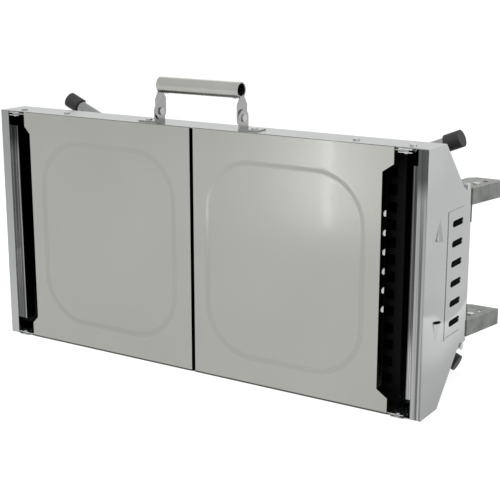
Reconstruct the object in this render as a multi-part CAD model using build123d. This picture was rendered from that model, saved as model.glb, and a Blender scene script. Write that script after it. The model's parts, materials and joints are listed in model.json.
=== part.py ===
from build123d import *
import math
import os

# Folded charcoal grill standing on its long side, handle up, lids to the front.
# X runs along the length, Y runs from the lids to the legs, Z is up.
# Origin: centre of the lower rim wall's resting face.

LENGTH = 600.0
HEIGHT = 300.0
RIM_DEPTH = 45.0
BACK_DEPTH = 98.0
BACK_INSET = 55.0
TAB_DEPTH = 122.0
TAB_INSET = 60.0
SHEET = 1.0
FACE_SETBACK = 1.0
WALL_SETBACK = 1.6
FLOOR_DEPTH = 102.0
WALL_LIP = 13.0

FRONT_FLANGE = 12.5
FLANGE_RETURN = 10.0
WALL_TAB_WIDTH = 14.0
WALL_TAB_START = 10.0
WALL_TAB_END = 40.0
BACK_FLANGE = 38.0
BACK_FLANGE_INSET = 2.0

SLOT_COUNT = 6
SLOT_PITCH = 22.9
SLOT_START = 70.0
SLOT_LENGTH = 30.0
SLOT_HEIGHT = 7.5
BEAD_MARGIN = 10.0
BEAD_WIDTH = 2.4
BEAD_PROUD = 0.6
POCKET_DEPTH = 36.0
POCKET_MOUTH = 46.0
POCKET_LENGTH = 23.0
POCKET_RADIUS = 10.0
POCKET_SUNK = 5.5

RAIL_WIDTH = 8.5
RAIL_DEPTH = 8.0
RAIL_LIP = 16.0
RAIL_END_CLEAR = 20.0

LEDGE_START = 13.0
LEDGE_WIDTH = 18.0
LEDGE_DROP = 13.0
LEDGE_INSET = 38.0

TRAY_INSET = 44.0
TRAY_WALL_GAP = 3.0
TRAY_LIP = 10.5
TRAY_FLOOR_GAP = 14.0
TRAY_SLOT_COUNT = 8
TRAY_SLOT_LENGTH = 90.0
TRAY_SLOT_WIDTH = 6.0
TRAY_SLOT_MARGIN = 16.0

COAL_GRATE_INSET = 60.0
COAL_GRATE_RISE = 18.0
COAL_GRATE_MARGIN = 17.0
COAL_SLOT_COUNT = 15
COAL_END_MARGIN = 15.0
COAL_SLOT_WIDTH = 14.0
COAL_SLOT_MARGIN = 18.0

GRATE_DEPTH = 27.8
GRATE_THICK = 2.2
GRATE_INSET = 3.0
GRATE_MIDDLE_GAP = 2.0
GRATE_END_INSET = 38.0
GRATE_BAR_COUNT = 15
GRATE_SLOT_HEIGHT = 12.0
GRATE_SLOT_MARGIN = 10.0

LID_MIDDLE_X = 2.5
LID_CORNER_INSET = 40.0
LID_EDGE_INSET = 48.5
LID_NOTCH_LOW = 19.0
LID_NOTCH_HIGH = 28.0
LID_Z_CLEAR = 0.6
LID_FLANGE = 11.0
LID_SIDE_FLANGE_MARGIN = 2.0
LID_MIDDLE_FLANGE_MARGIN = 12.0
EMBOSS_MIDDLE_INSET = 16.5
EMBOSS_EDGE_INSET = 17.5
EMBOSS_INSET_Z = 32.0
EMBOSS_RADIUS = 60.0
EMBOSS_WIDTH = 8.0
EMBOSS_DEPTH = 0.6

HINGE_INSET = 26.0
HINGE_PIN_RADIUS = 1.5
HINGE_RUNNING_CLEARANCE = 0.03
EAR_THICK = 1.2
EAR_RADIUS = 4.0
EAR_DEPTH = 7.0
EAR_REACH = 16.0
EAR_WELD = 11.0
CLIP_GAP = 0.5
CLIP_HALF_WIDTH = 8.0
CLIP_FRONT = 3.5
CLIP_WEB_DEPTH = 8.0
CLIP_LEAF_END = 26.0
CLIP_HEAD_RADIUS = 2.4
CLIP_HEAD_HEIGHT = 1.0

RIVET_RADIUS = 2.0
RIVET_HEAD_RADIUS = 4.0
RIVET_HEAD_HEIGHT = 1.3
RIVET_SIDES = 8
HEAD_SIDES = 12
CLIP_RIVET_DEPTH = 17.0
LEDGE_RIVET_INSET = 95.0
LEDGE_RIVET_DEPTH = 20.0
PANEL_RIVET_DEPTH = 109.0
PANEL_RIVET_INSET = 56.0
FLOOR_RIVET_COUNT = 4

HANDLE_DEPTH = 20.0
HANDLE_RISE = 13.0
HANDLE_PIVOT_Z = HEIGHT + HANDLE_RISE
HANDLE_ARM_LENGTH = 31.5
GRIP_RADIUS = 9.5
GRIP_WALL = 1.5
GRIP_HALF_LENGTH = 57.0
ARM_THICK = 1.5
ARM_WIDTH = 20.0
ARM_TOP_WIDTH = 9.0
ARM_SHOULDER = 15.0
ARM_TAB_LENGTH = 16.0
ARM_PIN_RADIUS = 2.5
ARM_RUNNING_CLEARANCE = 0.03
ARM_SIDE_CLEARANCE = 0.35
ARM_PIN_HEAD_RADIUS = 4.5
ARM_PIN_HEAD_HEIGHT = 1.4
BRACKET_THICK = 1.5
BRACKET_FOOT = 25.0
BRACKET_RIVET_X = 75.0
GRIP_RIVET_RADIUS = 1.5
GRIP_RIVET_HEAD_RADIUS = 2.6
GRIP_RIVET_PROUD = 0.5
GRIP_RIVET_X = 48.0

LOW_PIN_INSET = 74.0
HIGH_PIN_INSET = 70.0
LEG_BRACKET_HEIGHT = 19.0
LEG_BRACKET_SHEET = 1.2
LEG_BRACKET_DEPTH = 66.0
LEG_BRACKET_FLANGE = 42.0
LEG_BRACKET_CORNER = 8.0
LEG_BRACKET_BASE = 20.0
BRACKET_BASE_INSET = 38.0
WEB_LEAN = 11.0
BRACKET_RIVET_INSET = 10.0
NEAR_PIN_DEPTH = 150.0
FAR_PIN_DEPTH = 168.0
PIN_TO_WEB = 11.0
LEG_RADIUS = 8.0
LEG_WALL = 1.2
LEG_OVERHANG = 6.0
LEG_SIDES = 16
LEG_BORE_SIDES = 8
BEND_STEPS = 4
LEG_STRAIGHT = 50.0
LEG_JOG = 100.0
LEG_BEND_RADIUS = 40.0
NEAR_REACH_MARGIN = 25.0
FAR_REACH_MARGIN = 32.0
NEAR_FOOT_ABOVE = 1.0
NEAR_FOOT_LOW = 11.5
FAR_FOOT_BELOW = 11.0
FAR_FOOT_LOW = 13.5
NEAR_RISING_DEPTH = 117.0
NEAR_FALLING_DEPTH = 134.0
FAR_RISING_DEPTH = 152.0
FAR_FALLING_DEPTH = 169.0
LEG_PIN_RADIUS = 3.0
LEG_RUNNING_CLEARANCE = 0.04
LEG_PIN_HEAD_RADIUS = 4.5
LEG_PIN_HEAD_HEIGHT = 1.0
CROSS_BOLT_RADIUS = 2.5
CROSS_HEAD_RADIUS = 4.5
CROSS_HEAD_HEIGHT = 2.5
CROSS_WASHER_RADIUS = 6.0
NUT_SIDES = 6
CAP_RADIUS = 10.25
CAP_LENGTH = 20.0
CAP_FLOOR = 3.0

LEDGE_HALF_LENGTH = LENGTH / 2 - LEDGE_INSET
TRAY_HALF_LENGTH = LENGTH / 2 - TRAY_INSET
COAL_GRATE_HALF_LENGTH = LENGTH / 2 - COAL_GRATE_INSET
GRATE_OUTER_X = LENGTH / 2 - GRATE_END_INSET
LID_CORNER_X = LENGTH / 2 - LID_CORNER_INSET
LID_EDGE_X = LENGTH / 2 - LID_EDGE_INSET
EMBOSS_OUTER_X = LID_EDGE_X - EMBOSS_EDGE_INSET
EMBOSS_INNER_X = LID_MIDDLE_X + EMBOSS_MIDDLE_INSET
HINGE_X = LENGTH / 2 - HINGE_INSET
LEDGE_RIVET_X = LENGTH / 2 - LEDGE_RIVET_INSET
LEG_BRACKET_BASE_X = LENGTH / 2 - BRACKET_BASE_INSET

SLOPE = BACK_INSET / (BACK_DEPTH - RIM_DEPTH)
TRAY_LIP_END = RIM_DEPTH - TRAY_WALL_GAP
TRAY_FLOOR_DEPTH = FLOOR_DEPTH - TRAY_FLOOR_GAP
TRAY_FLOOR_INSET = SHEET + SLOPE * (TRAY_FLOOR_DEPTH - TRAY_LIP_END)
LEG_PIN_HEIGHTS = (LOW_PIN_INSET, HEIGHT - HIGH_PIN_INSET)
NEAR_LAYERS = (NEAR_RISING_DEPTH, NEAR_FALLING_DEPTH)
FAR_LAYERS = (FAR_RISING_DEPTH, FAR_FALLING_DEPTH)
NEAR_FEET = (HEIGHT + NEAR_FOOT_ABOVE, NEAR_FOOT_LOW)
FAR_FEET = (HEIGHT - FAR_FOOT_BELOW, FAR_FOOT_LOW)


def depth(value):
    return value - RIM_DEPTH / 2


def block(x0, x1, y0, y1, z0, z1):
    size = (abs(x1 - x0), abs(y1 - y0), abs(z1 - z0))
    centre = ((x0 + x1) / 2, (y0 + y1) / 2, (z0 + z1) / 2)
    return Pos(*centre) * Box(*size)


def rod(start, end, radius):
    axis = Vector(*end) - Vector(*start)
    return Solid.make_cylinder(radius, axis.length, Plane(origin=start, z_dir=axis))


def bar(start, end, radius, sides):
    """Straight bar with a regular outline, such as a hexagon."""
    axis = Vector(*end) - Vector(*start)
    outline = Plane(origin=start, z_dir=axis) * RegularPolygon(radius, sides)
    return extrude(outline, axis.length)


def around(radius):
    """Corner radius of the many-sided hole that just clears a round pin."""
    return radius / math.cos(math.pi / HEAD_SIDES)


def prism_x(points, x0, x1):
    face = Plane.YZ * make_face(Polyline(*points, close=True))
    return Pos(min(x0, x1), 0, 0) * extrude(face, abs(x1 - x0), dir=(1, 0, 0))


def strip(points, thickness):
    """Outline of a bent sheet: the given side, then the same line moved inward."""
    normals = []
    for (ya, za), (yb, zb) in zip(points, points[1:]):
        run = math.hypot(yb - ya, zb - za)
        normals.append(((zb - za) / run, -(yb - ya) / run))
    inner = []
    for i, (py, pz) in enumerate(points):
        first = normals[max(i - 1, 0)]
        second = normals[min(i, len(normals) - 1)]
        scale = thickness / (1 + first[0] * second[0] + first[1] * second[1])
        inner.append((py + (first[0] + second[0]) * scale, pz + (first[1] + second[1]) * scale))
    return list(points) + inner[::-1]


def flip(shape):
    return Pos(0, 0, HEIGHT) * mirror(shape, about=Plane.XY)


def rivet(start, end, flush=False):
    """Shank between two outer faces, with a head on the first or on both."""
    a = Vector(*start)
    b = Vector(*end)
    way = (b - a).normalized() * RIVET_HEAD_HEIGHT
    body = bar(a, b, RIVET_RADIUS, RIVET_SIDES)
    body += bar(a - way, a, RIVET_HEAD_RADIUS, HEAD_SIDES)
    if flush:
        return body
    return body + bar(b, b + way, RIVET_HEAD_RADIUS, HEAD_SIDES)


def wall_rivet(x, at_depth, lower, flush=False):
    return rivet((x, depth(at_depth), lower), (x, depth(at_depth), HEIGHT), flush)


def floor_inset():
    """How far the sloping walls have come in where they meet the bottom plate."""
    return SLOPE * (FLOOR_DEPTH - RIM_DEPTH)


def make_long_wall():
    line = [
        (depth(WALL_SETBACK), HEIGHT),
        (depth(RIM_DEPTH), HEIGHT),
        (depth(FLOOR_DEPTH), HEIGHT - floor_inset()),
        (depth(FLOOR_DEPTH), HEIGHT - floor_inset() - WALL_LIP),
    ]
    half = LENGTH / 2 - SHEET
    wall = prism_x(strip(line, SHEET), -half, half)
    for side in (-1, 1):
        wall -= wall_rivet(side * HINGE_X, CLIP_RIVET_DEPTH, HEIGHT - 2 * SHEET)
        wall -= wall_rivet(side * LEDGE_RIVET_X, LEDGE_RIVET_DEPTH, HEIGHT - 2 * SHEET)
    for hole in floor_rivets():
        wall -= hole
    return wall


def pocket_cone(shrink):
    radius = POCKET_RADIUS - shrink
    tip = POCKET_SUNK - shrink
    cone = Cone(radius, tip, POCKET_LENGTH)
    middle = HEIGHT / 2 + POCKET_MOUTH + POCKET_LENGTH / 2
    return Pos(LENGTH / 2 - POCKET_SUNK, depth(POCKET_DEPTH), middle) * cone


def make_end_panel():
    """Right end panel with its flanges, vent slots and two lanced pockets."""
    outside = LENGTH / 2
    inside = outside - SHEET
    front = depth(FACE_SETBACK)
    outline = [
        (front, 0),
        (depth(RIM_DEPTH), 0),
        (depth(BACK_DEPTH), BACK_INSET),
        (depth(TAB_DEPTH), TAB_INSET),
        (depth(TAB_DEPTH), HEIGHT - TAB_INSET),
        (depth(BACK_DEPTH), HEIGHT - BACK_INSET),
        (depth(RIM_DEPTH), HEIGHT),
        (front, HEIGHT),
    ]
    panel = prism_x(outline, inside, outside)
    edge = outside - FRONT_FLANGE
    panel += block(edge, inside, front, front + SHEET, SHEET, HEIGHT - SHEET)
    panel += block(edge, edge + SHEET, front + SHEET, front + FLANGE_RETURN, SHEET, HEIGHT - SHEET)
    tab = block(inside - WALL_TAB_WIDTH, inside, depth(WALL_TAB_START), depth(WALL_TAB_END),
                HEIGHT - 2 * SHEET, HEIGHT - SHEET)
    panel += [tab, flip(tab)]
    low = TAB_INSET + BACK_FLANGE_INSET
    back = depth(TAB_DEPTH)
    panel += block(inside - BACK_FLANGE, inside, back - SHEET, back, low, HEIGHT - low)
    reach = SLOT_PITCH * (SLOT_COUNT - 1) / 2 + SLOT_HEIGHT / 2 + BEAD_MARGIN
    start = depth(SLOT_START) - BEAD_MARGIN
    end = depth(SLOT_START + SLOT_LENGTH)
    proud = outside + BEAD_PROUD
    middle = HEIGHT / 2
    panel += block(outside, proud, start - BEAD_WIDTH, start, middle - reach, middle + reach)
    for side in (-1, 1):
        near = middle + side * reach
        panel += block(outside, proud, start - BEAD_WIDTH, end, near, near + side * BEAD_WIDTH)
    for i in range(SLOT_COUNT):
        z = middle + (i - (SLOT_COUNT - 1) / 2) * SLOT_PITCH
        straight = SLOT_LENGTH - SLOT_HEIGHT
        slot = Rectangle(straight, SLOT_HEIGHT)
        for way in (-1, 1):
            slot += Pos(way * straight / 2, 0) * RegularPolygon(SLOT_HEIGHT / 2, HEAD_SIDES)
        cut = extrude(Plane.YZ * slot, 2 * SHEET, both=True)
        panel -= Pos(outside, (depth(SLOT_START) + end) / 2, z) * cut
    zone = block(outside, outside + POCKET_RADIUS, depth(0), depth(RIM_DEPTH + POCKET_DEPTH), 0, HEIGHT)
    hood = pocket_cone(0) & zone
    cavity = pocket_cone(SHEET)
    panel = panel + hood + flip(hood) - cavity - flip(cavity)
    panel -= panel_rivet()
    panel -= flip(panel_rivet())
    for z in LEG_PIN_HEIGHTS:
        panel -= leg_bracket_rivets(z)
    return panel


def panel_rivet():
    """Rivet through the end panel and the corner gusset behind it."""
    at = (depth(PANEL_RIVET_DEPTH), HEIGHT - PANEL_RIVET_INSET)
    return rivet((LENGTH / 2 - 2 * SHEET, *at), (LENGTH / 2, *at))


def make_rail():
    """Right inner rail that fills the step behind the end panel's front flange."""
    outer = LENGTH / 2 - FRONT_FLANGE
    inner = outer - RAIL_WIDTH
    front = depth(RAIL_DEPTH)
    low = RAIL_END_CLEAR
    rail = block(inner, outer, front, front + SHEET, low, HEIGHT - low)
    rail += block(inner, inner + SHEET, front + SHEET, front + RAIL_LIP, low, HEIGHT - low)
    return rail


def make_ledge():
    """Upper angle that carries the cooking grates."""
    top = HEIGHT - SHEET
    half = LEDGE_HALF_LENGTH
    front = depth(LEDGE_START)
    back = front + LEDGE_WIDTH
    ledge = block(-half, half, front, back, top - SHEET, top)
    ledge += block(-half, half, back - SHEET, back, top - LEDGE_DROP, top - SHEET)
    for side in (-1, 1):
        ledge -= wall_rivet(side * LEDGE_RIVET_X, LEDGE_RIVET_DEPTH, top - SHEET)
    return ledge


def make_bottom_plate():
    half = LENGTH / 2 - SHEET
    front = depth(FLOOR_DEPTH) - 2 * SHEET
    low = floor_inset() + SHEET
    plate = block(-half, half, front, front + SHEET, low, HEIGHT - low)
    for hole in floor_rivets():
        plate -= hole
    return plate


def floor_rivets():
    z = HEIGHT - floor_inset() - WALL_LIP / 2
    back = depth(FLOOR_DEPTH)
    rivets = []
    for i in range(FLOOR_RIVET_COUNT):
        x = (i - (FLOOR_RIVET_COUNT - 1) / 2) * LENGTH / FLOOR_RIVET_COUNT
        one = rivet((x, back - 2 * SHEET, z), (x, back, z))
        rivets += [one, flip(one)]
    return rivets


def make_tray():
    top = HEIGHT - SHEET
    line = [
        (depth(TRAY_LIP_END - TRAY_LIP), top),
        (depth(TRAY_LIP_END), top),
        (depth(TRAY_FLOOR_DEPTH), HEIGHT - TRAY_FLOOR_INSET),
        (depth(TRAY_FLOOR_DEPTH), TRAY_FLOOR_INSET),
        (depth(TRAY_LIP_END), SHEET),
        (depth(TRAY_LIP_END - TRAY_LIP), SHEET),
    ]
    tray = prism_x(strip(line, SHEET), -TRAY_HALF_LENGTH, TRAY_HALF_LENGTH)
    floor = depth(TRAY_FLOOR_DEPTH)
    pitch = 2 * (TRAY_HALF_LENGTH - TRAY_SLOT_MARGIN) / TRAY_SLOT_COUNT
    for i in range(TRAY_SLOT_COUNT):
        x = (i - (TRAY_SLOT_COUNT - 1) / 2) * pitch
        tray -= block(x - TRAY_SLOT_WIDTH / 2, x + TRAY_SLOT_WIDTH / 2, floor - 2 * SHEET,
                      floor + SHEET, (HEIGHT - TRAY_SLOT_LENGTH) / 2, (HEIGHT + TRAY_SLOT_LENGTH) / 2)
    return tray


def make_coal_grate():
    """Slotted plate standing on two bent feet on the tray floor."""
    front = depth(TRAY_FLOOR_DEPTH - COAL_GRATE_RISE)
    foot = depth(TRAY_FLOOR_DEPTH) - SHEET
    low = TRAY_FLOOR_INSET + COAL_GRATE_MARGIN
    line = [(foot, HEIGHT - low), (front, HEIGHT - low), (front, low), (foot, low)]
    plate = prism_x(strip(line, -SHEET), -COAL_GRATE_HALF_LENGTH, COAL_GRATE_HALF_LENGTH)
    margin = low + COAL_SLOT_MARGIN
    pitch = 2 * (COAL_GRATE_HALF_LENGTH - COAL_END_MARGIN) / COAL_SLOT_COUNT
    for i in range(COAL_SLOT_COUNT):
        x = (i - (COAL_SLOT_COUNT - 1) / 2) * pitch
        plate -= block(x - COAL_SLOT_WIDTH / 2, x + COAL_SLOT_WIDTH / 2, front - 2 * SHEET,
                       front + 2 * SHEET, margin, HEIGHT - margin)
    return plate


def make_cooking_grate():
    """Right half of the slotted cooking grate, lying on the ledges."""
    front = depth(GRATE_DEPTH)
    low = GRATE_INSET
    left = GRATE_MIDDLE_GAP / 2
    right = GRATE_OUTER_X
    grate = block(left, right, front, front + GRATE_THICK, low, HEIGHT - low)
    pitch = (HEIGHT - 2 * low) / GRATE_BAR_COUNT
    for i in range(GRATE_BAR_COUNT):
        z = low + pitch * (i + 1 / 2)
        grate -= block(left + GRATE_SLOT_MARGIN, right - GRATE_SLOT_MARGIN, front - SHEET,
                       front + GRATE_THICK + SHEET, z - GRATE_SLOT_HEIGHT / 2, z + GRATE_SLOT_HEIGHT / 2)
    return grate


def ear_high():
    return HEIGHT - 2 * SHEET - CLIP_GAP


def clip_low():
    return ear_high() - EAR_THICK - CLIP_GAP - SHEET


def make_clip():
    """Upper right clip: two leaves around the lid's ear and a web between."""
    top = HEIGHT - SHEET
    left = HINGE_X - CLIP_HALF_WIDTH
    right = HINGE_X + CLIP_HALF_WIDTH
    front = -CLIP_FRONT + depth(0)
    web = depth(CLIP_WEB_DEPTH)
    low = clip_low()
    clip = block(left, right, front, depth(CLIP_LEAF_END), top - SHEET, top)
    clip += block(left, right, web, web + SHEET, low, top - SHEET)
    clip += block(left, right, front, web, low, low + SHEET)
    clip -= wall_rivet(HINGE_X, CLIP_RIVET_DEPTH, top - SHEET)
    hole = bar((HINGE_X, depth(0), low), (HINGE_X, depth(0), top), around(HINGE_PIN_RADIUS), HEAD_SIDES)
    return clip - hole


def make_hinge_pin():
    low = clip_low()
    at = (HINGE_X, depth(0))
    pin = rod((*at, low), (*at, HEIGHT - SHEET), HINGE_PIN_RADIUS)
    return pin + bar((*at, low - CLIP_HEAD_HEIGHT), (*at, low), CLIP_HEAD_RADIUS, HEAD_SIDES)


def make_lid():
    """Right lid plate with folded edges and the embossed frame."""
    face = depth(0)
    low = LID_Z_CLEAR
    points = [
        (LID_MIDDLE_X, low),
        (LID_CORNER_X, low),
        (LID_CORNER_X, LID_NOTCH_LOW),
        (LID_EDGE_X, LID_NOTCH_HIGH),
        (LID_EDGE_X, HEIGHT - LID_NOTCH_HIGH),
        (LID_CORNER_X, HEIGHT - LID_NOTCH_LOW),
        (LID_CORNER_X, HEIGHT - low),
        (LID_MIDDLE_X, HEIGHT - low),
    ]
    outline = Plane.XZ * make_face(Polyline(*points, close=True))
    lid = Pos(0, face, 0) * extrude(outline, SHEET, dir=(0, 1, 0))
    back = face + SHEET
    flange = face + LID_FLANGE
    low = LID_NOTCH_HIGH + LID_SIDE_FLANGE_MARGIN
    lid += block(LID_EDGE_X - SHEET, LID_EDGE_X, back, flange, low, HEIGHT - low)
    low = LID_MIDDLE_FLANGE_MARGIN
    lid += block(LID_MIDDLE_X, LID_MIDDLE_X + SHEET, back, flange, low, HEIGHT - low)
    width = EMBOSS_OUTER_X - EMBOSS_INNER_X
    height = HEIGHT - 2 * EMBOSS_INSET_Z
    half = EMBOSS_WIDTH / 2
    ring = RectangleRounded(width + 2 * half, height + 2 * half, EMBOSS_RADIUS + half)
    ring -= RectangleRounded(width - 2 * half, height - 2 * half, EMBOSS_RADIUS - half)
    ring = Pos((EMBOSS_INNER_X + EMBOSS_OUTER_X) / 2, face, HEIGHT / 2) * (Plane.XZ * ring)
    groove = extrude(ring, EMBOSS_DEPTH, dir=(0, 1, 0))
    return lid + Pos(0, SHEET, 0) * groove - groove


def make_ear():
    """Upper right ear: a leaf from behind the lid's corner to the hinge pin."""
    high = ear_high()
    low = high - EAR_THICK
    face = depth(0)
    back = face + SHEET
    start = LID_CORNER_X - EAR_REACH
    outline = [
        (start, back),
        (LID_CORNER_X, back),
        (HINGE_X, face - EAR_RADIUS),
        (HINGE_X, face + EAR_RADIUS),
        (LID_CORNER_X, face + EAR_DEPTH),
        (start, face + EAR_DEPTH),
    ]
    leaf = extrude(make_face(Polyline(*outline, close=True)), EAR_THICK)
    ear = Pos(0, 0, low) * leaf
    ear += bar((HINGE_X, face, low), (HINGE_X, face, high), EAR_RADIUS, HEAD_SIDES)
    ear += block(start, LID_CORNER_X - SHEET, back, back + SHEET, low - EAR_WELD, low)
    bore = HINGE_PIN_RADIUS + HINGE_RUNNING_CLEARANCE
    return ear - rod((HINGE_X, face, low), (HINGE_X, face, high), bore)


def handle_pin(x0, x1, radius):
    at = (depth(HANDLE_DEPTH), HANDLE_PIVOT_Z)
    return rod((x0, *at), (x1, *at), radius)


def bracket_face_x():
    return GRIP_HALF_LENGTH + ARM_THICK + ARM_SIDE_CLEARANCE


def bracket_rivet():
    at = (BRACKET_RIVET_X, depth(HANDLE_DEPTH))
    return rivet((*at, HEIGHT - 2 * SHEET), (*at, HEIGHT + BRACKET_THICK))


def make_handle_bracket():
    """Right angle bracket: a foot on the wall and an upright outside the arm."""
    inner = bracket_face_x()
    outer = inner + BRACKET_THICK
    front = depth(HANDLE_DEPTH) - ARM_WIDTH / 2
    back = front + ARM_WIDTH
    bracket = block(inner, outer, front, back, HEIGHT, HANDLE_PIVOT_Z)
    bracket += handle_pin(inner, outer, ARM_WIDTH / 2)
    bracket += block(outer, inner + BRACKET_FOOT, front, back, HEIGHT, HEIGHT + BRACKET_THICK)
    return bracket - handle_pin(inner, outer, ARM_PIN_RADIUS) - bracket_rivet()


def make_handle_pivot():
    inner = GRIP_HALF_LENGTH - ARM_SIDE_CLEARANCE
    outer = bracket_face_x() + BRACKET_THICK
    at = (depth(HANDLE_DEPTH), HANDLE_PIVOT_Z)
    pivot = handle_pin(inner, outer, ARM_PIN_RADIUS)
    for face, end in ((inner, inner - ARM_PIN_HEAD_HEIGHT), (outer, outer + ARM_PIN_HEAD_HEIGHT)):
        pivot += bar((face, *at), (end, *at), ARM_PIN_HEAD_RADIUS, HEAD_SIDES)
    return pivot


def grip_axis_z():
    return HANDLE_PIVOT_Z + HANDLE_ARM_LENGTH


def grip_rod(x0, x1, radius):
    at = (depth(HANDLE_DEPTH), grip_axis_z())
    return rod((x0, *at), (x1, *at), radius)


def grip_rivet():
    """Rivet from the tube's underside through the tube wall and the arm's tab."""
    x = GRIP_RIVET_X
    y = depth(HANDLE_DEPTH)
    low = grip_axis_z() - GRIP_RADIUS
    high = low + GRIP_WALL + ARM_THICK
    body = bar((x, y, low), (x, y, high + GRIP_RIVET_PROUD), GRIP_RIVET_RADIUS, RIVET_SIDES)
    under = bar((x, y, low - GRIP_RIVET_PROUD), (x, y, low + GRIP_WALL),
                GRIP_RIVET_HEAD_RADIUS, HEAD_SIDES)
    under -= grip_rod(0, GRIP_HALF_LENGTH, GRIP_RADIUS)
    return body + under


def make_arm():
    """Right flat arm with its upper tab bent into the grip tube."""
    inner = GRIP_HALF_LENGTH
    outer = inner + ARM_THICK
    middle = depth(HANDLE_DEPTH)
    half = ARM_WIDTH / 2
    tip = ARM_TOP_WIDTH / 2
    tab_z = grip_axis_z() - GRIP_RADIUS + GRIP_WALL
    shoulder = HANDLE_PIVOT_Z + ARM_SHOULDER
    outline = [
        (middle - half, HANDLE_PIVOT_Z),
        (middle + half, HANDLE_PIVOT_Z),
        (middle + half, shoulder),
        (middle + tip, tab_z),
        (middle + tip, tab_z + ARM_THICK),
        (middle - tip, tab_z + ARM_THICK),
        (middle - tip, tab_z),
        (middle - half, shoulder),
    ]
    arm = prism_x(outline, inner, outer) + handle_pin(inner, outer, half)
    arm -= handle_pin(inner, outer, ARM_PIN_RADIUS + ARM_RUNNING_CLEARANCE)
    bore = GRIP_RADIUS - GRIP_WALL
    tab = grip_rod(inner - ARM_TAB_LENGTH, inner, bore)
    tab -= grip_rod(inner - ARM_TAB_LENGTH, inner, bore - ARM_THICK)
    tab &= block(0, outer, middle - tip, middle + tip, tab_z - SHEET, grip_axis_z() - tip / 2)
    return arm + tab - grip_rivet()


def make_grip():
    grip = grip_rod(-GRIP_HALF_LENGTH, GRIP_HALF_LENGTH, GRIP_RADIUS)
    grip -= grip_rod(-GRIP_HALF_LENGTH, GRIP_HALF_LENGTH, GRIP_RADIUS - GRIP_WALL)
    return grip - grip_rivet() - mirror(grip_rivet(), about=Plane.YZ)


def web_x(at_depth):
    """Inner face of a right bracket's web, which leans outward away from the body."""
    return LENGTH / 2 + (at_depth - TAB_DEPTH) * math.tan(math.radians(WEB_LEAN))


def pin_x(at_depth):
    return web_x(at_depth) - PIN_TO_WEB / math.cos(math.radians(WEB_LEAN))


def leg_bracket_rivet_spans(z):
    """Rivet lines of one right bracket's base, on the side towards the middle."""
    towards = 1 if z < HEIGHT / 2 else -1
    at_z = z + towards * (LEG_BRACKET_HEIGHT / 2 + BRACKET_RIVET_INSET)
    start = depth(TAB_DEPTH) - SHEET
    end = depth(TAB_DEPTH) + LEG_BRACKET_SHEET
    places = (LEG_BRACKET_BASE_X + BRACKET_RIVET_INSET, LENGTH / 2 - BRACKET_RIVET_INSET)
    return [((x, start, at_z), (x, end, at_z)) for x in places]


def leg_bracket_rivets(z):
    return [rivet(start, end) for start, end in leg_bracket_rivet_spans(z)]


def make_leg_bracket(z):
    """Right channel for one leg: leaning web, two flanges and a riveted base."""
    sheet = LEG_BRACKET_SHEET
    half = LEG_BRACKET_HEIGHT / 2
    start = TAB_DEPTH
    end = TAB_DEPTH + LEG_BRACKET_DEPTH
    inner = LEG_BRACKET_BASE_X
    outline = [
        (inner, depth(start)),
        (web_x(start), depth(start)),
        (web_x(end), depth(end)),
        (web_x(end) - LEG_BRACKET_FLANGE + LEG_BRACKET_CORNER, depth(end)),
        (web_x(end) - LEG_BRACKET_FLANGE, depth(end - LEG_BRACKET_CORNER)),
    ]
    plate = extrude(make_face(Polyline(*outline, close=True)), sheet)
    bracket = Pos(0, 0, z - half) * plate
    bracket += Pos(0, 0, z + half - sheet) * plate
    web = [
        (web_x(start), depth(start)),
        (web_x(start) + sheet, depth(start)),
        (web_x(end) + sheet, depth(end)),
        (web_x(end), depth(end)),
    ]
    bracket += Pos(0, 0, z - half) * extrude(make_face(Polyline(*web, close=True)), 2 * half)
    towards = 1 if z < HEIGHT / 2 else -1
    far = z + towards * (half + LEG_BRACKET_BASE)
    back = depth(start) + sheet
    bracket += block(inner, web_x(start) + sheet / 2, depth(start), back, z - towards * half, far)
    for at in (NEAR_PIN_DEPTH, FAR_PIN_DEPTH):
        place = (pin_x(at), depth(at))
        bracket -= bar((*place, z - half), (*place, z + half), around(LEG_PIN_RADIUS), HEAD_SIDES)
    for start, end in leg_bracket_rivet_spans(z):
        bracket -= bar(start, end, RIVET_RADIUS, RIVET_SIDES)
    return bracket


def make_leg_pin(at_depth, z):
    half = LEG_BRACKET_HEIGHT / 2
    at = (pin_x(at_depth), depth(at_depth))
    pin = rod((*at, z - half), (*at, z + half), LEG_PIN_RADIUS)
    for side in (-1, 1):
        face = z + side * half
        pin += bar((*at, face), (*at, face + side * LEG_PIN_HEAD_HEIGHT), LEG_PIN_HEAD_RADIUS, HEAD_SIDES)
    return pin


def leg_points(pin_depth, layer, z, reach, foot_z):
    """Centre line of a leg that starts in a right bracket and runs to the left."""
    x = pin_x(pin_depth)
    rise = (foot_z - z) / (reach - LEG_STRAIGHT)
    return [
        Vector(x + LEG_OVERHANG, depth(pin_depth), z),
        Vector(x - LEG_STRAIGHT, depth(pin_depth), z),
        Vector(x - LEG_STRAIGHT - LEG_JOG, depth(layer), z + rise * LEG_JOG),
        Vector(x - reach, depth(layer), foot_z),
    ]


def cross_point(pin_depth, reach, feet):
    """Where the two legs of a right frame cross: x, and the height."""
    low, high = LEG_PIN_HEIGHTS
    rise = feet[0] - low
    share = (high - low) / (rise + high - feet[1])
    x = pin_x(pin_depth) - LEG_STRAIGHT - share * (reach - LEG_STRAIGHT)
    return x, low + share * rise


def cross_bar(cross, start, end, radius, sides):
    x, z = cross
    return bar((x, depth(start), z), (x, depth(end), z), radius, sides)


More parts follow.
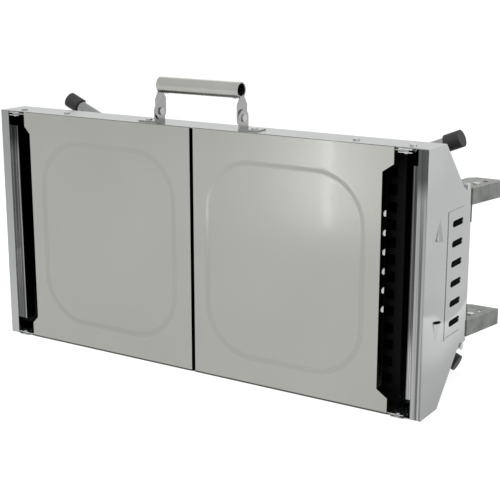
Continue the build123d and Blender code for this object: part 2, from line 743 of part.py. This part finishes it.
def make_cross_bolt(cross, layers):
    """Bolt through both legs at their crossing, with a washer between them."""
    near, far = layers
    start = near - LEG_RADIUS
    end = far + LEG_RADIUS
    bolt = cross_bar(cross, start, end, CROSS_BOLT_RADIUS, RIVET_SIDES)
    bolt += cross_bar(cross, start - CROSS_HEAD_HEIGHT, start, CROSS_HEAD_RADIUS, NUT_SIDES)
    bolt += cross_bar(cross, end, end + CROSS_HEAD_HEIGHT, CROSS_HEAD_RADIUS, NUT_SIDES)
    washer = cross_bar(cross, near + LEG_RADIUS, far - LEG_RADIUS, CROSS_WASHER_RADIUS, HEAD_SIDES)
    return bolt + washer


def bent_line(points):
    """The centre line with each bend drawn as a few short straight steps."""
    line = []
    for edge in FilletPolyline(*points, radius=LEG_BEND_RADIUS).edges():
        steps = 1 if edge.geom_type == GeomType.LINE else BEND_STEPS
        line += [edge.position_at(i / steps) for i in range(steps)]
    return Polyline(*line, points[-1])


def make_leg(points, cross):
    start = Plane(origin=points[0], z_dir=points[1] - points[0])
    section = RegularPolygon(LEG_RADIUS, LEG_SIDES)
    section -= RegularPolygon(LEG_RADIUS - LEG_WALL, LEG_BORE_SIDES)
    leg = sweep(start * section, bent_line(points), transition=Transition.RIGHT)
    x = points[0].X - LEG_OVERHANG
    y = points[0].Y
    z = points[0].Z
    leg -= rod((x, y, z - LEG_BRACKET_HEIGHT), (x, y, z + LEG_BRACKET_HEIGHT),
               LEG_PIN_RADIUS + LEG_RUNNING_CLEARANCE)
    return leg - cross_bar(cross, 0, 2 * FAR_LAYERS[1], CROSS_BOLT_RADIUS, RIVET_SIDES)


def make_cap(points):
    """Rubber cap pushed over the end of a leg."""
    along = (points[3] - points[2]).normalized()
    tip = points[3] + along * CAP_FLOOR
    start = tip - along * CAP_LENGTH
    return rod(start, tip, CAP_RADIUS) - rod(start, points[3], LEG_RADIUS)


def both_sides(name, shape):
    return {name + "_right": shape, name + "_left": mirror(shape, about=Plane.YZ)}


def both_ends(name, shape):
    return {name + "_top": shape, name + "_bottom": flip(shape)}


def corners(name, shape):
    nodes = {}
    for side, part in both_sides(name, shape).items():
        nodes.update(both_ends(side, part))
    return nodes


def make_wall_rivets(flush):
    low = HEIGHT - 2 * SHEET
    rivets = []
    for side in (-1, 1):
        rivets.append(wall_rivet(side * HINGE_X, CLIP_RIVET_DEPTH, low, flush))
        rivets.append(wall_rivet(side * LEDGE_RIVET_X, LEDGE_RIVET_DEPTH, low, flush))
    return rivets


nodes = {}
handle_rivets = both_sides("handle_bracket_rivet", bracket_rivet())
wall = make_long_wall()
ledge = make_ledge()
nodes["long_wall_bottom"] = flip(wall)
nodes["grate_ledge_bottom"] = flip(ledge)
for hole in handle_rivets.values():
    wall -= hole
    ledge -= hole
nodes["long_wall_top"] = wall
nodes["grate_ledge_top"] = ledge
nodes.update(handle_rivets)
nodes.update(both_sides("end_panel", make_end_panel()))
nodes["bottom_plate"] = make_bottom_plate()
nodes.update(both_sides("inner_rail", make_rail()))
nodes["charcoal_tray"] = make_tray()
nodes["coal_grate"] = make_coal_grate()
nodes.update(both_sides("cooking_grate", make_cooking_grate()))
nodes.update(corners("hinge_clip", make_clip()))
nodes.update(corners("hinge_pin", make_hinge_pin()))
# The rivets of the resting wall are flush, so that the face lies flat.
rivets = make_wall_rivets(False) + [flip(one) for one in make_wall_rivets(True)]
nodes["wall_rivets"] = Compound(rivets)
nodes["floor_rivets"] = Compound(floor_rivets())
ends = [panel_rivet(), flip(panel_rivet())]
for height in LEG_PIN_HEIGHTS:
    ends += leg_bracket_rivets(height)
nodes.update(both_sides("end_rivets", Compound(ends)))
for level, height in zip(("low", "high"), LEG_PIN_HEIGHTS):
    nodes.update(both_sides("leg_bracket_" + level, make_leg_bracket(height)))
    near = make_leg_pin(NEAR_PIN_DEPTH, height)
    far = mirror(make_leg_pin(FAR_PIN_DEPTH, height), about=Plane.YZ)
    nodes["leg_pin_" + level + "_right"] = near
    nodes["leg_pin_" + level + "_left"] = far
nodes.update(both_sides("handle_bracket", make_handle_bracket()))
nodes.update(both_sides("handle_pivot", make_handle_pivot()))

nodes["handle_grip"] = make_grip()
nodes.update(both_sides("handle_arm", make_arm()))
nodes.update(both_sides("grip_rivet", grip_rivet()))
nodes.update(both_sides("lid", make_lid()))
nodes.update(corners("lid_ear", make_ear()))

frames = (
    ("right", NEAR_PIN_DEPTH, NEAR_LAYERS, LENGTH - NEAR_REACH_MARGIN, NEAR_FEET, False),
    ("left", FAR_PIN_DEPTH, FAR_LAYERS, LENGTH - FAR_REACH_MARGIN, FAR_FEET, True),
)
for side, pin_depth, layers, reach, feet, mirrored in frames:
    cross = cross_point(pin_depth, reach, feet)
    pieces = {"cross_bolt_" + side: make_cross_bolt(cross, layers)}
    for level, layer, height, foot in zip(("rising", "falling"), layers, LEG_PIN_HEIGHTS, feet):
        points = leg_points(pin_depth, layer, height, reach, foot)
        pieces["leg_" + side + "_" + level] = make_leg(points, cross)
        pieces["foot_cap_" + side + "_" + level] = make_cap(points)
    for name, shape in pieces.items():
        nodes[name] = mirror(shape, about=Plane.YZ) if mirrored else shape

os.makedirs("parts", exist_ok=True)
for name, shape in nodes.items():
    export_step(shape, "parts/" + name + ".step")
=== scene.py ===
import json
import math
from collections import Counter

import bmesh
import bpy
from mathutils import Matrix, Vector


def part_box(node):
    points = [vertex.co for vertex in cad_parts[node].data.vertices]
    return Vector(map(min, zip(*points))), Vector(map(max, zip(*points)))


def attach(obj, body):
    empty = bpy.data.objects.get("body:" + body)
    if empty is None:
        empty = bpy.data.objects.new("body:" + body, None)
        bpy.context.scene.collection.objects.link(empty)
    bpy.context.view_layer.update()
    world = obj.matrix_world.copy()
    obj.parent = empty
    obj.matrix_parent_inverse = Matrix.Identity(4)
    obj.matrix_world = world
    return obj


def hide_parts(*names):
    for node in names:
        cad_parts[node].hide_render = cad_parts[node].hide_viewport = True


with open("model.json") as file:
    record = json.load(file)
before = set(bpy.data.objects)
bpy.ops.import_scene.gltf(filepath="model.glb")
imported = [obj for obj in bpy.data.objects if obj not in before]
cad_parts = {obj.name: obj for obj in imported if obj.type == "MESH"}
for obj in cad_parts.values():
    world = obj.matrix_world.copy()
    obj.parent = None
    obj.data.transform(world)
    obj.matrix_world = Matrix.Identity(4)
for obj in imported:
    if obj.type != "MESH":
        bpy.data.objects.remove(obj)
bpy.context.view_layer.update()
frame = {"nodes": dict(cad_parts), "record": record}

MM = 0.001
TOLERANCE = 1e-9

# Camera of the photograph, in the frame of the part.
CAMERA_PLACE = (0.786118, -1.135364, 0.494983)
CAMERA_YAW = 32.347
CAMERA_PITCH = 14.091
CAMERA_LENS = 84.886
SENSOR_WIDTH = 36.0

# Plate of each lid. Its two outer corners are wider than its folded edge.
LID_SIDES = {"lid_right": 1, "lid_left": -1}
LID_SHEET = 1.0 * MM
GRID_STEP = 1.3 * MM
NOTCH = (19.0 * MM, 28.0 * MM)

# Flanges bent back from the plate. The outer one leans out a little.
FOLD_X = {1: 246.8 * MM, -1: 251.5 * MM}
FLANGE_DEPTH = 11.0 * MM
FLANGE_FLARE = 1.22 * MM
LID_SHARP_ANGLE = 35.0

# Pressed middle of each lid: a rounded rectangle with a sloping border.
PRESS_MIDDLE_X = 126.45 * MM
PRESS_SHIFT = -2.75 * MM
PRESS_MIDDLE_Z = 149.5 * MM
PRESS_HALF_X = 101.9 * MM
PRESS_HALF_Z = 116.0 * MM
PRESS_CORNER = 60.0 * MM
PRESS_DEPTH = 0.85 * MM
SLOPE_HALF = 3.4 * MM

# Places on the part that the painted light and shade go by.
PART_HEIGHT = 300.0 * MM
LOWER_EDGE = 10.0 * MM
STRIP_BACK = -20.3 * MM
STRIP_EDGE = 298.9 * MM

# Painted light and shade along a line, as pairs of place from 0 to 1 and level. The border's
# painted shade takes in the slope and as much again on both sides of it.
BORDER_SPAN = 6 * SLOPE_HALF
# Painted shade on the pressed border of the lids, and painted shade along their lower edge.
BORDER_SHADE_STOPS = ((0.0, 1.0), (0.30, 1.0), (0.36, 0.93), (0.64, 0.93), (0.70, 1.01), (1.0, 1.01))
LOWER_EDGE_SHADE_STOPS = ((0.0, 0.10), (0.20, 0.15), (0.30, 1.0))
STREAK_STOPS = ((0.40, 0.45), (0.60, 1.35))
# Painted reflection on the mirror strips: dark at the top, lighter below.
STRIP_REFLECTION_STOPS = ((0.0, 0.72), (0.3, 0.66), (0.80, 0.56), (0.90, 0.16))
SHADED_STOPS = ((0.0, 0.80), (0.22, 0.75), (0.36, 0.26), (1.0, 0.22))
PANEL_LIGHT_STOPS = ((0.0, 0.66), (0.15, 0.74), (0.33, 1.06), (0.395, 1.22),
               (0.41, 0.86), (0.5, 0.95), (0.8, 1.0), (1.0, 1.12))
LEFT_FLANGE_STOPS = ((0.0, 1.0), (0.4, 0.9), (0.9, 0.76))

# Noises: stretch along each axis, scale and detail. The wave bends the painted reflection line
# on a panel by up to half its sway, in metres.
EVEN = (1, 1, 1)
STREAK_NOISE = ((90, 90, 0.4), 6.0, 2.0)
WAVE_NOISE = (EVEN, 7.0, 1.0)
WAVE_SWAY = 0.09
CLOUD_SCALE = 9.0
CLOUD_DETAIL = 3.0
CLOUD_RANGE = (0.3, 0.7)
GRAIN_SCALE = 30.0
GRAIN_DETAIL = 5.0
COATING_DETAIL = 6.0
COATING_RANGE = (0.35, 0.65)

# Depth of the fine relief, and the thin clear coat of the lids.
METAL_RELIEF = 0.4 * MM
COATING_RELIEF = 0.6 * MM
LID_COAT = 0.4
LID_COAT_ROUGHNESS = 0.09

# Nodes with round forms, and the edge angle that stays sharp on them.
ROUND_NODES = ("leg_left", "leg_right", "foot_cap", "handle_grip")
ROUND_SHARP_ANGLE = 40.0

# Studio.
WORLD_LIGHT = 0.55
WORLD_SEEN = 1.0
FLOOR_HALF = 30.0
FLOOR_COLOUR = (0.42, 0.42, 0.42, 1)
FLOOR_ROUGHNESS = 0.9
FLOOR_GLOW = 0.80

# Lamps: place, target, size and power.
LAMPS = {
    "key": ((0.4, -1.8, 2.2), (0, 0, 0.15), (1.6, 1.2), 32),
    "side": ((2.2, -0.4, 1.2), (0, 0, 0.15), (1.2, 1.2), 14),
    "back": ((-1.0, 2.0, 1.6), (0, 0, 0.15), (1.4, 1.0), 3),
    "low_strip": ((-0.10, -0.54, 0.17), (0.18, -0.0225, 0.24), (0.010, 0.20), 0.08),
}


def node_tree(name):
    material = bpy.data.materials.new(name)
    material.use_nodes = True
    return material, (material.node_tree.nodes, material.node_tree.links)


def add(nodes, kind, **values):
    """A node with its plain settings, and its inputs given by name."""
    node = nodes.new(kind)
    for key, value in values.items():
        if key in node.inputs:
            node.inputs[key].default_value = value
        else:
            setattr(node, key, value)
    return node


def ramp_between(tree, value, low, high, start, end):
    """A colour that runs from low to high between two values."""
    nodes, links = tree
    ramp = nodes.new("ShaderNodeValToRGB")
    for element, place, colour in zip(ramp.color_ramp.elements, (start, end), (low, high)):
        element.position = place
        element.color = (*colour, 1)
    links.new(value, ramp.inputs["Fac"])
    return ramp.outputs["Color"]


def noise_on(tree, stretch, scale, detail):
    """Noise in object space, stretched by a scale along each axis."""
    nodes, links = tree
    place = nodes.new("ShaderNodeTexCoord")
    mapping = add(nodes, "ShaderNodeMapping", Scale=stretch)
    noise = add(nodes, "ShaderNodeTexNoise", Scale=scale, Detail=detail)
    links.new(place.outputs["Object"], mapping.inputs["Vector"])
    links.new(mapping.outputs["Vector"], noise.inputs["Vector"])
    return noise.outputs["Fac"]


def calc(tree, operation, *terms):
    """One arithmetic step between numbers and outputs; gives its output."""
    nodes, links = tree
    node = add(nodes, "ShaderNodeMath", operation=operation)
    for slot, term in zip(node.inputs, terms):
        if isinstance(term, (int, float)):
            slot.default_value = term
        else:
            links.new(term, slot)
    return node.outputs["Value"]


def stops(tree, value, pairs):
    """A grey level that runs through pairs of place and brightness."""
    nodes, links = tree
    ramp = nodes.new("ShaderNodeValToRGB")
    ramp.color_ramp.interpolation = "EASE"
    elements = ramp.color_ramp.elements
    while len(elements) < len(pairs):
        elements.new(0.5)
    for element, (place, level) in zip(elements, pairs):
        element.position = place
        element.color = (level, level, level, 1)
    links.new(value, ramp.inputs["Fac"])
    return ramp.outputs["Color"]


def part_axes(tree):
    """The part's x, y and z at the shaded point, in metres."""
    nodes, links = tree
    place = nodes.new("ShaderNodeTexCoord")
    split = nodes.new("ShaderNodeSeparateXYZ")
    links.new(place.outputs["Object"], split.inputs["Vector"])
    return split.outputs


def times(tree, colour, level):
    """A colour darkened or lightened by a grey level."""
    nodes, links = tree
    mix = add(nodes, "ShaderNodeVectorMath", operation="MULTIPLY")
    links.new(colour, mix.inputs[0])
    links.new(level, mix.inputs[1])
    return mix.outputs["Vector"]


def blended(tree, share, first, second):
    """The first colour, giving way to the second where the share is 1."""
    nodes, links = tree
    blend = nodes.new("ShaderNodeMixRGB")
    links.new(share, blend.inputs["Fac"])
    links.new(first, blend.inputs["Color1"])
    links.new(second, blend.inputs["Color2"])
    return blend.outputs["Color"]


def lid_painted_shade(tree):
    """Painted shade on a lid: duller on the pressed middle's border, dark at its lower edge."""
    x, _, z = part_axes(tree)
    shift = calc(tree, "MULTIPLY", calc(tree, "SIGN", x), PRESS_SHIFT)
    middle = calc(tree, "ADD", shift, PRESS_MIDDLE_X)
    off_x = calc(tree, "SUBTRACT", calc(tree, "ABSOLUTE", x), middle)
    off_z = calc(tree, "SUBTRACT", z, PRESS_MIDDLE_Z)
    across = calc(tree, "ABSOLUTE", off_x)
    along = calc(tree, "ABSOLUTE", off_z)
    dx = calc(tree, "SUBTRACT", across, PRESS_HALF_X - PRESS_CORNER)
    dz = calc(tree, "SUBTRACT", along, PRESS_HALF_Z - PRESS_CORNER)
    square = [calc(tree, "POWER", calc(tree, "MAXIMUM", d, 0.0), 2.0) for d in (dx, dz)]
    outside = calc(tree, "SQRT", calc(tree, "ADD", *square))
    inside = calc(tree, "MINIMUM", calc(tree, "MAXIMUM", dx, dz), 0.0)
    line = calc(tree, "SUBTRACT", calc(tree, "ADD", outside, inside), PRESS_CORNER)
    place = calc(tree, "ADD", calc(tree, "DIVIDE", line, BORDER_SPAN), 0.5)
    # Painted shade on the border's slope and along the lower edge.
    border = stops(tree, place, BORDER_SHADE_STOPS)
    edge = stops(tree, calc(tree, "DIVIDE", z, LOWER_EDGE), LOWER_EDGE_SHADE_STOPS)
    return times(tree, border, edge)


def painted_light_by_height(tree, pairs):
    """Painted reflection and painted shade by height on a mirror strip, broken by fine upright
    streaks.
    """
    height = part_axes(tree)["Z"]
    streaks = noise_on(tree, *STREAK_NOISE)
    light_fall = stops(tree, calc(tree, "DIVIDE", height, PART_HEIGHT), pairs)
    return times(tree, light_fall, stops(tree, streaks, STREAK_STOPS))


def strip_painted_reflection(tree):
    """Painted reflection on the mirror strips beside the lids: dark at the top, lighter below.
    """
    return painted_light_by_height(tree, STRIP_REFLECTION_STOPS)


def shaded_tone(tree):
    """The rail in the shade of the right end panel: light only near its foot."""
    return painted_light_by_height(tree, SHADED_STOPS)


def panel_painted_light(tree):
    """Painted light on an end panel: brighter upwards with a soft wavy line of painted
    reflection on its face, and its front flange apart.

    The right panel's flange takes the painted reflection of a mirror strip and the left one's
    darkens upwards.
    """
    x, y, z = part_axes(tree)
    wave = calc(tree, "SUBTRACT", noise_on(tree, *WAVE_NOISE), 0.5)
    sway = calc(tree, "MULTIPLY", wave, WAVE_SWAY)
    height = calc(tree, "DIVIDE", calc(tree, "ADD", z, sway), PART_HEIGHT)
    # Painted light on the face: brighter upwards, with a soft wavy line of painted reflection.
    face = stops(tree, height, PANEL_LIGHT_STOPS)
    left_edge = stops(tree, calc(tree, "DIVIDE", z, PART_HEIGHT), LEFT_FLANGE_STOPS)
    front = calc(tree, "LESS_THAN", y, STRIP_BACK)
    inner = calc(tree, "LESS_THAN", x, STRIP_EDGE)
    right = calc(tree, "GREATER_THAN", x, 0.0)
    strip = calc(tree, "MULTIPLY", calc(tree, "MULTIPLY", front, inner), right)
    left = calc(tree, "MULTIPLY", front, calc(tree, "LESS_THAN", x, 0.0))
    return blended(tree, left, blended(tree, strip, face, strip_painted_reflection(tree)), left_edge)


def finish_surface(tree, shader, grain, rough, bump, relief_depth):
    """Uneven gloss and a slight relief, both from one grain."""
    nodes, links = tree
    gloss = add(nodes, "ShaderNodeMapRange")
    gloss.inputs["To Min"].default_value = rough[0]
    gloss.inputs["To Max"].default_value = rough[1]
    links.new(grain, gloss.inputs["Value"])
    links.new(gloss.outputs["Result"], shader.inputs["Roughness"])
    relief = add(nodes, "ShaderNodeBump", Strength=bump, Distance=relief_depth)
    links.new(grain, relief.inputs["Height"])
    links.new(relief.outputs["Normal"], shader.inputs["Normal"])


def steel(name, light, dark, rough, grain=(4, 4, 160), bump=0.02, cloud=CLOUD_SCALE,
          painted_light=None, brushed=0.0):
    """Sheet or tube metal: cloudy colour, fine grain lines and uneven gloss, with painted light
    and shade multiplied into the colour where given.
    """
    material, tree = node_tree(name)
    nodes, links = tree
    shader = nodes["Principled BSDF"]
    shader.inputs["Metallic"].default_value = 1.0
    if brushed:
        shader.inputs["Anisotropic"].default_value = brushed
        shader.inputs["Coat Weight"].default_value = LID_COAT
        shader.inputs["Coat Roughness"].default_value = LID_COAT_ROUGHNESS
        across = add(nodes, "ShaderNodeTangent", direction_type="RADIAL", axis="Z")
        links.new(across.outputs["Tangent"], shader.inputs["Tangent"])
    clouds = noise_on(tree, EVEN, cloud, CLOUD_DETAIL)
    colour = ramp_between(tree, clouds, dark, light, *CLOUD_RANGE)
    # Painted light and shade multiplied into the base colour.
    if painted_light:
        colour = times(tree, colour, painted_light(tree))
    links.new(colour, shader.inputs["Base Color"])
    lines = noise_on(tree, grain, GRAIN_SCALE, GRAIN_DETAIL)
    finish_surface(tree, shader, lines, rough, bump, METAL_RELIEF)
    return material


def coating(name, light, dark, rough, bump, scale, shine=0.5):
    """Enamel, rubber or other non-metal surface with a fine grain."""
    material, tree = node_tree(name)
    nodes, links = tree
    shader = nodes["Principled BSDF"]
    shader.inputs["Specular IOR Level"].default_value = shine
    grain = noise_on(tree, EVEN, scale, COATING_DETAIL)
    colour = ramp_between(tree, grain, dark, light, *COATING_RANGE)
    links.new(colour, shader.inputs["Base Color"])
    finish_surface(tree, shader, grain, rough, bump, COATING_RELIEF)
    return material


STEELS = {
    # lid_steel: painted shade on the pressed border and the lower edge.
    "lid_steel": dict(light=(0.338, 0.343, 0.318), dark=(0.322, 0.327, 0.303),
                      rough=(0.22, 0.30), grain=(3, 3, 260), painted_light=lid_painted_shade, brushed=0.5),
    "fold_steel": dict(light=(0.50, 0.50, 0.49), dark=(0.44, 0.44, 0.43),
                       rough=(0.02, 0.05), bump=0.0),
    "wall_steel": dict(light=(0.31, 0.335, 0.32), dark=(0.27, 0.295, 0.28),
                       rough=(0.14, 0.26), grain=(3, 60, 3)),
    # panel_steel: painted light and painted reflection on the end panels.
    "panel_steel": dict(light=(0.375, 0.39, 0.385), dark=(0.345, 0.36, 0.355),
                        rough=(0.12, 0.20), grain=(3, 3, 80), painted_light=panel_painted_light),
    # rail_steel: painted reflection; shaded_rail: painted shade.
    "rail_steel": dict(light=(0.52, 0.52, 0.52), dark=(0.44, 0.44, 0.44),
                       rough=(0.04, 0.10), grain=(90, 90, 2), painted_light=strip_painted_reflection),
    "shaded_rail": dict(light=(0.42, 0.42, 0.42), dark=(0.36, 0.36, 0.36),
                        rough=(0.04, 0.10), grain=(90, 90, 2), painted_light=shaded_tone),
    "burnt_steel": dict(light=(0.045, 0.045, 0.047), dark=(0.018, 0.018, 0.019),
                        rough=(0.45, 0.65), grain=(6, 60, 6), bump=0.05),
    "galvanised": dict(light=(0.23, 0.24, 0.225), dark=(0.14, 0.145, 0.135),
                       rough=(0.34, 0.52), grain=(30, 30, 30), bump=0.10, cloud=60.0),
    "fastener_steel": dict(light=(0.52, 0.53, 0.53), dark=(0.40, 0.41, 0.41),
                           rough=(0.20, 0.34), grain=(20, 20, 20), bump=0.05),
    "leg_tube": dict(light=(0.30, 0.31, 0.31), dark=(0.24, 0.25, 0.25),
                     rough=(0.08, 0.16), grain=(3, 90, 90)),
    "grip_tube": dict(light=(0.43, 0.43, 0.41), dark=(0.33, 0.33, 0.31),
                      rough=(0.18, 0.30), grain=(3, 260, 260), bump=0.05),
    "handle_strap": dict(light=(0.375, 0.38, 0.37), dark=(0.31, 0.315, 0.305),
                         rough=(0.16, 0.28), grain=(4, 80, 4)),
}

COATINGS = {
    "black_enamel": dict(light=(0.004, 0.004, 0.004), dark=(0.002, 0.002, 0.002),
                         rough=(0.45, 0.65), bump=0.1, scale=260.0, shine=0.1),
    "cap_rubber": dict(light=(0.020, 0.020, 0.021), dark=(0.012, 0.012, 0.013),
                       rough=(0.55, 0.75), bump=0.3, scale=500.0),
}

MATERIALS = {name: steel(name, **look) for name, look in STEELS.items()}
MATERIALS.update({name: coating(name, **look) for name, look in COATINGS.items()})

# The two rails share a slot; the right one takes a darker copy with painted shade.
RAIL_LIT_AND_SHADED = {"inner_rail_left": "rail_steel", "inner_rail_right": "shaded_rail"}


def dress_cad():
    """Gives every CAD node the material of its slot, the right rail a darker copy with painted
    shade, and round ones a smooth shading.
    """
    for row in frame["record"]["subparts"]:
        mesh = frame["nodes"][row["node"]].data
        mesh.materials.clear()
        # The right rail's darker copy is painted shade.
        slot = RAIL_LIT_AND_SHADED.get(row["node"], row["material_slot"])
        mesh.materials.append(MATERIALS[slot])
        if row["node"].startswith(ROUND_NODES):
            mesh.shade_smooth()
            mesh.set_sharp_from_angle(angle=math.radians(ROUND_SHARP_ANGLE))


def press_depth(x, z, side):
    """How far the lid's middle is pressed back at a point, with a sloping border."""
    dx = abs(x - PRESS_MIDDLE_X - side * PRESS_SHIFT) - PRESS_HALF_X + PRESS_CORNER
    dz = abs(z - PRESS_MIDDLE_Z) - PRESS_HALF_Z + PRESS_CORNER
    outside = math.hypot(max(dx, 0), max(dz, 0))
    line = outside + min(max(dx, dz), 0) - PRESS_CORNER
    share = min(max(0.5 - line / (2 * SLOPE_HALF), 0), 1)
    return PRESS_DEPTH * share * share * (3 - 2 * share)


def steps(low, high):
    """Even places from low to high, about GRID_STEP apart."""
    count = max(1, round((high - low) / GRID_STEP))
    return [low + (high - low) * i / count for i in range(count + 1)]


def rows_between(rows, one, other):
    """Indices of the rows from one height to another, both included."""
    low = min(one, other) - TOLERANCE
    high = max(one, other) + TOLERANCE
    return [i for i, z in enumerate(rows) if low <= z <= high]


def lid_mesh(name, side):
    """One lid: pressed face of sheet steel with its two folded edges."""
    low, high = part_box(name)
    inner = min(abs(low[0]), abs(high[0]))
    outer = max(abs(low[0]), abs(high[0]))
    front = low[1]
    bottom = low[2]
    top = high[2]
    upper_notch = [bottom + top - z for z in reversed(NOTCH)]
    edges_z = [bottom, *NOTCH, *upper_notch, top]
    rows = [bottom]
    for a, b in zip(edges_z, edges_z[1:]):
        rows += steps(a, b)[1:]
    columns = steps(inner, FOLD_X[side])
    mesh = bmesh.new()
    grid = []
    for z in rows:
        line = [mesh.verts.new((side * x, front + press_depth(x, z, side), z)) for x in columns]
        grid.append(line)
    for lower, upper in zip(grid, grid[1:]):
        for i in range(len(columns) - 1):
            mesh.faces.new((lower[i], lower[i + 1], upper[i + 1], upper[i]))
    for corner in (edges_z[:3], edges_z[:2:-1]):
        corner_fill(mesh, grid, rows, corner, side, outer, front)
    fold(mesh, grid, rows, -1, NOTCH[1], upper_notch[0], side * FLANGE_FLARE)
    fold(mesh, grid, rows, 0, NOTCH[0], upper_notch[1], 0.0)
    bmesh.ops.recalc_face_normals(mesh, faces=mesh.faces)
    data = bpy.data.meshes.new("pressed_" + name)
    mesh.to_mesh(data)
    mesh.free()
    piece = bpy.data.objects.new("pressed_" + name, data)
    bpy.context.scene.collection.objects.link(piece)
    return piece


def corner_fill(mesh, grid, rows, corner, side, outer, front):
    """The wider corner of the lid's plate, with its slanted notch."""
    end, straight, notch = corner
    tall = rows_between(rows, end, straight)
    slant = rows_between(rows, straight, notch)
    rim = {i: mesh.verts.new((side * outer, front, rows[i])) for i in tall}
    for a, b in zip(tall, tall[1:]):
        mesh.faces.new((grid[a][-1], rim[a], rim[b], grid[b][-1]))
    start = tall[-1] if abs(rows[tall[-1]] - straight) < TOLERANCE else tall[0]
    if slant[0] != start:
        slant = slant[::-1]
    width = outer - FOLD_X[side]
    previous = rim[start]
    for a, b in zip(slant, slant[1:]):
        share = abs(notch - rows[b]) / abs(notch - straight)
        if b == slant[-1]:
            mesh.faces.new((grid[a][-1], previous, grid[b][-1]))
        else:
            point = mesh.verts.new((side * (FOLD_X[side] + width * share), front, rows[b]))
            mesh.faces.new((grid[a][-1], previous, point, grid[b][-1]))
            previous = point


def fold(mesh, grid, rows, column, low, high, flare):
    """A flange bent back from one side of the plate, between two heights."""
    previous = None
    for i in rows_between(rows, low, high):
        edge = grid[i][column]
        back = mesh.verts.new((edge.co.x + flare, edge.co.y + FLANGE_DEPTH, edge.co.z))
        if previous:
            face = mesh.faces.new((previous[0], edge, back, previous[1]))
            face.material_index = 1
        previous = (edge, back)


def shade(piece):
    """Smooth faces, with sharp folds and sharp outer edges."""
    for face in piece.data.polygons:
        face.use_smooth = True
    piece.data.set_sharp_from_angle(angle=math.radians(LID_SHARP_ANGLE))
    uses = Counter(key for face in piece.data.polygons for key in face.edge_keys)
    for edge in piece.data.edges:
        if uses[edge.key] == 1:
            edge.use_edge_sharp = True


def thicken(piece, thickness):
    sheet = piece.modifiers.new("sheet", "SOLIDIFY")
    sheet.thickness = thickness
    sheet.offset = -1.0
    sheet.use_even_offset = True


def build_lids():
    for name, side in LID_SIDES.items():
        piece = lid_mesh(name, side)
        shade(piece)
        thicken(piece, LID_SHEET)
        piece.data.materials.append(MATERIALS["lid_steel"])
        piece.data.materials.append(MATERIALS["fold_steel"])
        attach(piece, name)
        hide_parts(name)


def build_camera():
    data = bpy.data.cameras.new("camera")
    data.lens = CAMERA_LENS
    data.sensor_width = SENSOR_WIDTH
    camera = bpy.data.objects.new("camera", data)
    camera.location = CAMERA_PLACE
    camera.rotation_euler = (math.radians(90 - CAMERA_PITCH), 0, math.radians(CAMERA_YAW))
    bpy.context.scene.collection.objects.link(camera)
    bpy.context.scene.camera = camera


def soft_lamp(name, place, target, size, power):
    data = bpy.data.lights.new(name, "AREA")
    data.shape = "RECTANGLE"
    data.size, data.size_y = size
    data.energy = power
    lamp = bpy.data.objects.new(name, data)
    lamp.location = place
    aim = Vector(target) - Vector(place)
    lamp.rotation_euler = aim.to_track_quat("-Z", "Y").to_euler()
    bpy.context.scene.collection.objects.link(lamp)


def seen_directly(tree):
    """1 where a ray comes straight from the camera, a mirror or glass."""
    path = tree[0].new("ShaderNodeLightPath")
    direct = calc(tree, "MAXIMUM", path.outputs["Is Camera Ray"], path.outputs["Is Glossy Ray"])
    return calc(tree, "MAXIMUM", direct, path.outputs["Is Transmission Ray"])


def build_world():
    world = bpy.data.worlds.new("studio")
    bpy.context.scene.world = world
    world.use_nodes = True
    nodes = world.node_tree.nodes
    links = world.node_tree.links
    background = nodes["Background"]
    background.inputs["Color"].default_value = (1, 1, 1, 1)
    seen = seen_directly((nodes, links))
    strength = add(nodes, "ShaderNodeMapRange")
    strength.inputs["To Min"].default_value = WORLD_LIGHT
    strength.inputs["To Max"].default_value = WORLD_SEEN
    links.new(seen, strength.inputs["Value"])
    links.new(strength.outputs["Result"], background.inputs["Strength"])


def build_floor():
    """White floor: a grey sheet that also glows where it is seen directly."""
    material, tree = node_tree("floor_white")
    nodes, links = tree
    shader = nodes["Principled BSDF"]
    shader.inputs["Base Color"].default_value = FLOOR_COLOUR
    shader.inputs["Roughness"].default_value = FLOOR_ROUGHNESS
    shader.inputs["Specular IOR Level"].default_value = 0.0
    glow = add(nodes, "ShaderNodeEmission")
    level = calc(tree, "MULTIPLY", seen_directly(tree), FLOOR_GLOW)
    links.new(level, glow.inputs["Strength"])
    both = nodes.new("ShaderNodeAddShader")
    links.new(shader.outputs["BSDF"], both.inputs[0])
    links.new(glow.outputs["Emission"], both.inputs[1])
    links.new(both.outputs["Shader"], nodes["Material Output"].inputs["Surface"])
    data = bpy.data.meshes.new("floor")
    signs = ((-1, -1), (1, -1), (1, 1), (-1, 1))
    corners = [(x * FLOOR_HALF, y * FLOOR_HALF, 0) for x, y in signs]
    data.from_pydata(corners, [], [(0, 1, 2, 3)])
    data.materials.append(material)
    floor = bpy.data.objects.new("floor", data)
    bpy.context.scene.collection.objects.link(floor)


build_camera()
build_world()
build_floor()
for lamp_name, settings in LAMPS.items():
    soft_lamp(lamp_name, *settings)
dress_cad()
build_lids()
bpy.context.scene.view_settings.view_transform = "Standard"
